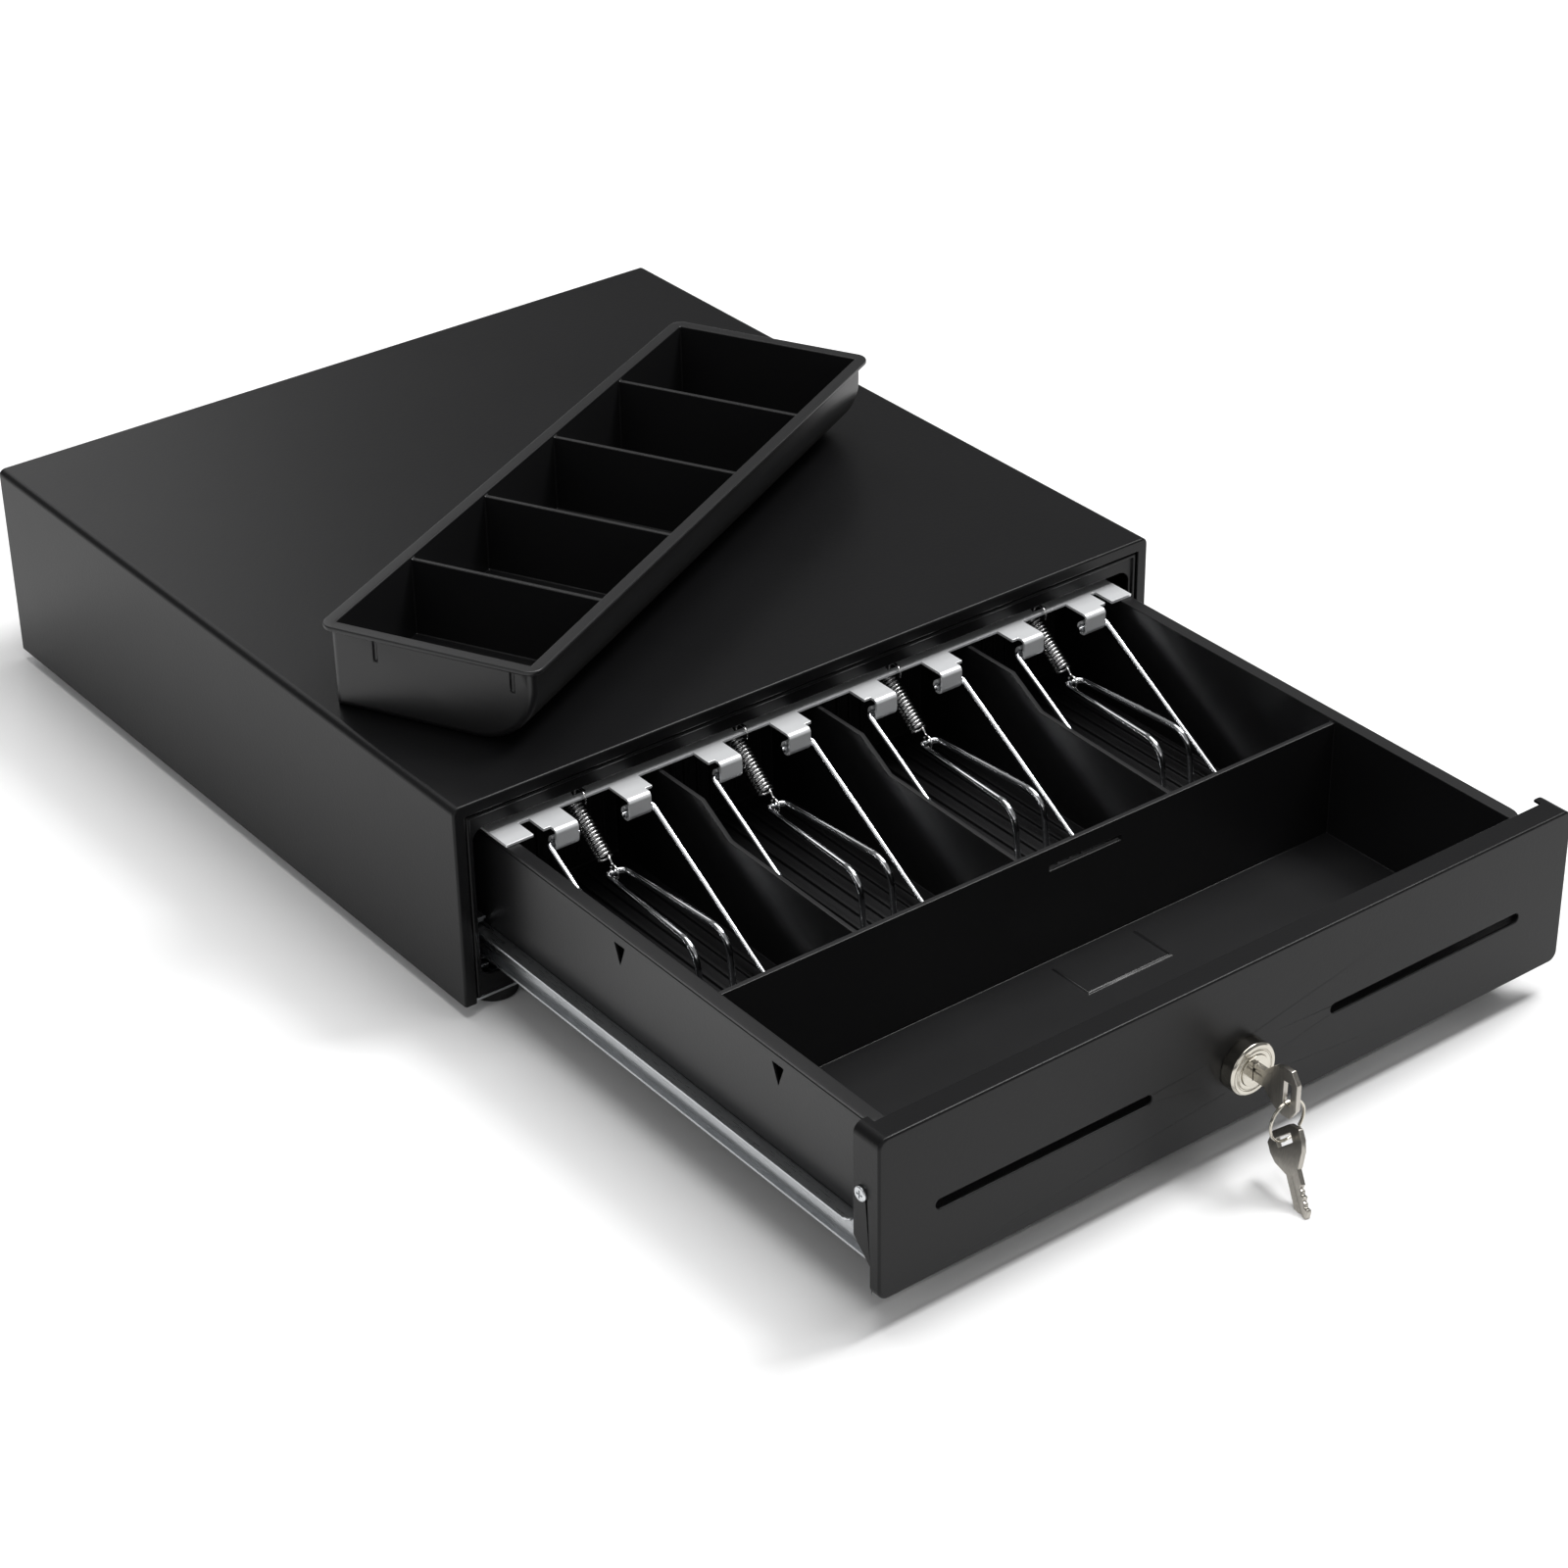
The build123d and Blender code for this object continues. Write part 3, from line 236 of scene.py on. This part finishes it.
# ---- Black moulded plastic: till insert, coin tray, socket, switch ----
# The till insert drops into the drawer's tub and the coin tray is loose; both are thin injection mouldings.
# The socket snaps into the rear wall, the door switch is screwed down inside, and the push-out rod is nylon.
def moulded_abs(name, body, sheen, rough):
    """Black ABS from a spark-eroded mould: matt, with a very fine even grain."""
    mat, place = start(name)
    cloud = add(mat, "TexNoise", [("Vector", place, "Object")], Scale=14.0, Detail=3.0)
    tone = add(mat, "MixRGB", [("Fac", cloud, 0)], Color1=linear(body), Color2=linear(sheen))
    grain = add(mat, "TexNoise", [("Vector", place, "Object")], Scale=1 / (0.5 * MM), Detail=2.0)
    gloss = add(mat, "MapRange", [("Value", cloud, 0)], **{"To Min": rough - 0.03, "To Max": rough + 0.05})
    skin = add(mat, "Bump", [("Height", grain, 0)], Strength=0.3, Distance=0.06 * MM)
    return finish_with(mat, add(mat, "BsdfPrincipled", [
        ("Base Color", tone, 0), ("Roughness", gloss, 0), ("Normal", skin, 0)]))


abs_black = moulded_abs("black_abs", "#111112", "#171718", 0.34)
eased("till_insert", abs_black, 0.4)
eased("coin_tray", abs_black, 0.6, 3)
glass_nylon = moulded_abs("black_glass_filled_nylon", "#17171a", "#202022", 0.5)
eased("cable_socket", glass_nylon, 0.2)
eased("door_switch", glass_nylon, 0.2)
dress(moulded_abs("natural_nylon", "#e4e0d4", "#d6d1c2", 0.4), "ejector_rod")


# ---- Rubber feet ----
# Four round feet of hard black rubber, each held by one screw up through its middle. The skin is dull, a little
# dusty, and takes no clear highlight.
def hard_rubber(name, body, dust):
    """Compression-moulded rubber: flat black with a fine pitted skin and a grey bloom."""
    mat, place = start(name)
    bloom = add(mat, "TexNoise", [("Vector", place, "Object")], Scale=120.0, Detail=5.0, Roughness=0.7)
    tone = add(mat, "MixRGB", [("Fac", bloom, 0)], Color1=linear(body), Color2=linear(dust))
    pits = add(mat, "TexNoise", [("Vector", place, "Object")], Scale=1 / (0.8 * MM), Detail=3.0)
    skin = add(mat, "Bump", [("Height", pits, 0)], Strength=0.5, Distance=0.12 * MM)
    return finish_with(mat, add(mat, "BsdfPrincipled", [("Base Color", tone, 0), ("Normal", skin, 0)],
                                Roughness=0.72, Specular_IOR_Level=0.3))


eased("rubber_feet", hard_rubber("hard_black_rubber", "#121212", "#222222"), 0.5, 3)


# ---- Nickel and chrome: lock, keys, wire ----
# The lock is a turned barrel clamped through the panel by a nut, with flat keys blanked from plated brass.
# Each note clip is one length of bent chromed wire whose ends turn in two of the rail's hooks.
def plated(name, body, shade, rough):
    """Bright nickel or chrome over brass or steel: mirror-like, slightly clouded by handling."""
    mat, place = start(name)
    cloud = add(mat, "TexNoise", [("Vector", place, "Object")], Scale=220.0, Detail=4.0)
    tone = add(mat, "MixRGB", [("Fac", cloud, 0)], Color1=linear(body), Color2=linear(shade))
    gloss = add(mat, "MapRange", [("Value", cloud, 0)], **{"To Min": rough, "To Max": rough + 0.1})
    return finish_with(mat, add(mat, "BsdfPrincipled", [
        ("Base Color", tone, 0), ("Roughness", gloss, 0)], Metallic=1.0))


def struck_nickel(name, lean, tilt):
    """Nickel over a blanked and struck key: soft grey sheen with fine drawn lines down its length."""
    mat, place = start(name)
    along = add(mat, "Mapping", [("Vector", place, "Object")], Rotation=(lean, 0, tilt), Scale=(4.0, 4.0, 0.2))
    lines = add(mat, "TexNoise", [("Vector", along, 0)], Scale=1 / (1.6 * MM), Detail=3.0)
    tone = add(mat, "MixRGB", [("Fac", lines, 0)], Color1=linear("#8f8b84"), Color2=linear("#c9c5bd"))
    gloss = add(mat, "MapRange", [("Value", lines, 0)], **{"To Min": 0.24, "To Max": 0.4})
    skin = add(mat, "Bump", [("Height", lines, 0)], Strength=0.5, Distance=0.08 * MM)
    return finish_with(mat, add(mat, "BsdfPrincipled", [
        ("Base Color", tone, 0), ("Roughness", gloss, 0), ("Normal", skin, 0)], Metallic=1.0))


nickel = plated("bright_nickel", "#d4d0c6", "#bcb7ab", 0.12)
chrome = plated("bright_chrome_wire", "#e2e3e5", "#cfd1d4", 0.07)
eased("key", struck_nickel("struck_nickel_key", 0.0, 0.0), 0.35)
eased("spare_key", struck_nickel("struck_nickel_spare", math.radians(45), 0.0), 0.35)
eased("lock_barrel", nickel, 0.25, 3)
eased("lock_plug", nickel, 0.2)
for bay in range(1, 5):
    eased("bill_clip_%d" % bay, chrome, 0, angle=50)
dress(chrome, "slide_balls_left", "slide_balls_right")


# ---- Coiled springs and the split ring: drawn wire wound on a mandrel ----
# The four clip springs are evenly wound steel with a hooked end each way: one at the rail and one round the
# clip's loop. The latch and ejector springs are wound wider, and the key ring is two turns of nickel wire.
def wound(name, wire_mm, coil_mm, turns, length_mm, steps=24):
    """A helix of round wire along +Z from the origin, made by winding a small circle."""
    bpy.ops.object.select_all(action="DESELECT")
    bpy.ops.mesh.primitive_circle_add(vertices=10, radius=wire_mm * MM, location=(coil_mm * MM, 0, 0),
                                      rotation=(math.pi / 2, 0, 0))
    coil = bpy.context.object
    coil.name = name
    bpy.ops.object.transform_apply(location=True, rotation=True, scale=True)
    modify(coil, "SCREW", angle=math.tau, iterations=turns, screw_offset=length_mm * MM / turns,
           steps=steps, render_steps=steps, use_normal_calculate=True, use_merge_vertices=False)
    bpy.ops.object.mode_set(mode="EDIT")
    bpy.ops.mesh.select_all(action="SELECT")
    bpy.ops.mesh.fill_holes(sides=12)
    bpy.ops.mesh.select_all(action="SELECT")
    bpy.ops.mesh.normals_make_consistent(inside=False)
    bpy.ops.object.mode_set(mode="OBJECT")
    return coil


def hooked(name, wire_mm, points):
    """A bent wire through a few points, as a curve of round section turned into a mesh."""
    bpy.ops.object.select_all(action="DESELECT")
    bpy.ops.curve.primitive_nurbs_path_add()
    path = bpy.context.object
    path.name = name
    spline = path.data.splines[0]
    if len(points) > len(spline.points):
        spline.points.add(len(points) - len(spline.points))
    for point, place in zip(spline.points, points):
        point.co = (*[v * MM for v in place], 1.0)
    spline.order_u = 3
    spline.use_endpoint_u = True
    path.data.bevel_depth = wire_mm * MM
    path.data.bevel_resolution = 3
    path.data.resolution_u = 8
    path.data.use_fill_caps = True
    bpy.ops.object.convert(target="MESH")
    return bpy.context.object


def joined(name, *pieces):
    """Several made pieces as one object."""
    bpy.ops.object.select_all(action="DESELECT")
    for piece in pieces:
        piece.select_set(True)
    bpy.context.view_layer.objects.active = pieces[0]
    bpy.ops.object.join()
    pieces[0].name = name
    return pieces[0]


SPRING_WIRE_R = 0.42
SPRING_COIL_R = 2.73
SPRING_TURNS = 17
SPRING_COIL_LENGTH = 25.4
SPRING_LEAD_IN = 1.4      # from the spring's start to its first turn
SPRING_FROM, SPRING_TO = Vector((0, -162.0, 68.9)), Vector((0, -187.5, 49.6))
HEAD_HOOK = [(0, -164.6, 70.35), (0, -164.9, 71.8), (0, -165.4, 74.0), (0, -167.8, 75.6), (0, -170.8, 75.0),
             (0, -172.2, 73.0), (0, -171.6, 71.0)]
TAIL_HOOK = [(0, -185.2, 54.8), (0, -186.5, 54.0), (0, -187.2, 52.4), (0, -189.4, 52.6), (0, -191.2, 50.6),
             (0, -190.6, 48.0), (0, -188.2, 47.2), (0, -186.2, 48.8), (0, -186.6, 51.0)]
spring_wire = plated("bright_spring_wire", "#f0f0f0", "#dcdcdc", 0.18)
run = SPRING_TO - SPRING_FROM
turn = run.to_track_quat("Z", "X").to_matrix().to_4x4()
for bay in range(1, 5):
    coil = wound("coil", SPRING_WIRE_R, SPRING_COIL_R, SPRING_TURNS, SPRING_COIL_LENGTH)
    coil.data.transform(Matrix.Translation(SPRING_FROM * MM) @ turn
                        @ Matrix.Translation((0, 0, SPRING_LEAD_IN * MM)))
    spring = joined("clip_spring_%d_wound" % bay, coil, hooked("head", SPRING_WIRE_R, HEAD_HOOK),
                    hooked("tail", SPRING_WIRE_R, TAIL_HOOK))
    middle = sum(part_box("clip_spring_%d" % bay), Vector())[0] / 2
    spring.data.transform(Matrix.Translation((middle, 0, 0)))
    stand_for(spring, spring_wire, "clip_spring_%d" % bay, 60)
    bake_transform(spring)

latch_coil = wound("latch_spring_wound", 0.5, 3.7, 6, 5.4)
low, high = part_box("latch_spring")
latch_coil.data.transform(Matrix.Translation(((low.x + high.x) / 2, (low.y + high.y) / 2, low.z + 0.5 * MM)))
fit_in(latch_coil, chrome, "latch_spring", 60)

push_coil = wound("ejector_spring_wound", 0.6, 6.2, 5, 8.6)
low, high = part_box("ejector_spring")
push_coil.data.transform(Matrix.Translation(((low.x + high.x) / 2, low.y + 0.6 * MM, (low.z + high.z) / 2))
                         @ Matrix.Rotation(-math.pi / 2, 4, "X"))
fit_in(push_coil, chrome, "ejector_spring", 60)

split_ring = wound("key_ring_wound", 0.44, 7.9, 2, 0.9, 64)
low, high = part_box("key_ring")
split_ring.data.transform(Matrix.Translation(((low.x + high.x) / 2, (low.y + high.y) / 2 - 0.45 * MM,
                                              (low.z + high.z) / 2)) @ Matrix.Rotation(-math.pi / 2, 4, "X")
                          @ Matrix.Rotation(math.radians(40), 4, "Z"))
fit_in(split_ring, nickel, "key_ring", 60)


# ---- Counter, light and camera ----
# A plain pale counter under a large overhead softbox, with a smaller one that draws thin lines on the
# edges and three weak ones that fill the sides.
bpy.ops.object.select_all(action="DESELECT")
bpy.ops.mesh.primitive_plane_add(size=12.0, location=(0, 0, 0))
counter = bpy.context.object
counter.name = "counter"
counter_mat, counter_place = start("pale_counter")
finish_with(counter_mat, add(counter_mat, "BsdfPrincipled", Base_Color=linear("#f4f4f4"), Roughness=0.8))
counter.data.materials.append(counter_mat)

world = bpy.data.worlds.new("studio")
world.use_nodes = True
world.node_tree.nodes["Background"].inputs["Color"].default_value = linear("#ffffff")
world.node_tree.nodes["Background"].inputs["Strength"].default_value = 0.22
bpy.context.scene.world = world


def softbox(name, place, aim, size, power):
    """A square studio light aimed at a point."""
    bpy.ops.object.light_add(type="AREA", location=place)
    light = bpy.context.object
    light.name = name
    light.data.size = size
    light.data.energy = power
    light.rotation_euler = (Vector(aim) - Vector(place)).to_track_quat("-Z", "Y").to_euler()


softbox("overhead", (0.2, -0.2, 2.3), (0, -0.15, 0), 1.6, 38)
softbox("edge_light", (1.15, -0.45, 2.0), (0, -0.15, 0.08), 0.7, 34)
softbox("behind", (0.2, 2.4, 1.6), (-0.1, 0, 0.09), 1.8, 14)
softbox("left", (-2.0, -0.6, 1.2), (0, -0.1, 0.05), 1.2, 4)
softbox("front", (-0.9, -2.4, 1.0), (0, -0.2, 0.05), 1.2, 3.5)

YAW, PITCH, ROLL = math.radians(36.938), math.radians(31.449), math.radians(0.950)
bpy.ops.object.camera_add(location=(-0.75237, -1.14845, 0.79199))
camera = bpy.context.object
aimed = (Matrix.Rotation(-YAW, 3, "Z") @ Matrix.Rotation(math.pi / 2 - PITCH, 3, "X")
         @ Matrix.Rotation(-ROLL, 3, "Z"))
camera.rotation_euler = aimed.to_euler()
camera.data.sensor_width = 36.0
camera.data.lens = 86.6655
camera.data.clip_start = 0.05
bpy.context.scene.camera = camera
bpy.context.scene.view_settings.view_transform = "Standard"
